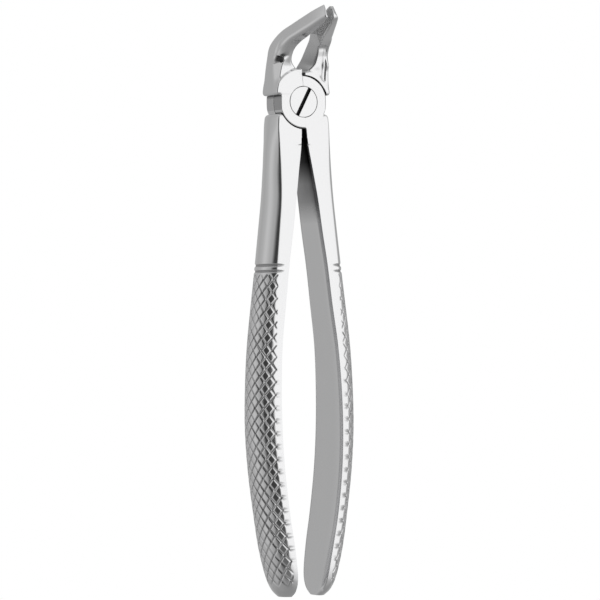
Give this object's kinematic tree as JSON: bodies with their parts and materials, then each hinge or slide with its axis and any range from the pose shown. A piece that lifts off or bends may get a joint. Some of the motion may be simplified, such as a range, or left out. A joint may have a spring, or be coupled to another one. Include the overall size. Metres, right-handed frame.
{
  "type": "dental extraction forceps",
  "caption": "Lower-tooth extraction forceps: crossed steel halves on a slotted pivot screw, forward-bent serrated beaks, knurled bowed handles.",
  "frame": {"origin": "where the pivot axis meets the joint's flat back face", "axes": "+Z from the handles to the beaks, +Y out of the joint's back face, so the screw's head and the bent beaks face -Y; +X to the right seen from the screw's side"},
  "size_m": [0.0332, 0.0307, 0.1687],
  "materials": {
    "forged_steel": "satin stainless steel with mirror-polished flats",
    "screw_steel": "polished stainless steel"
  },
  "bodies": {
    "back": {"back_half": "forged_steel", "pivot_screw": "screw_steel"},
    "front": {"front_half": "forged_steel"}
  },
  "joints": [
    {"name": "pivot", "type": "hinge", "parent": "back", "child": "front", "pos_m": [0, -0.0046, 0], "axis": [0, -1, 0], "range_deg": [-2, 28]}
  ]
}
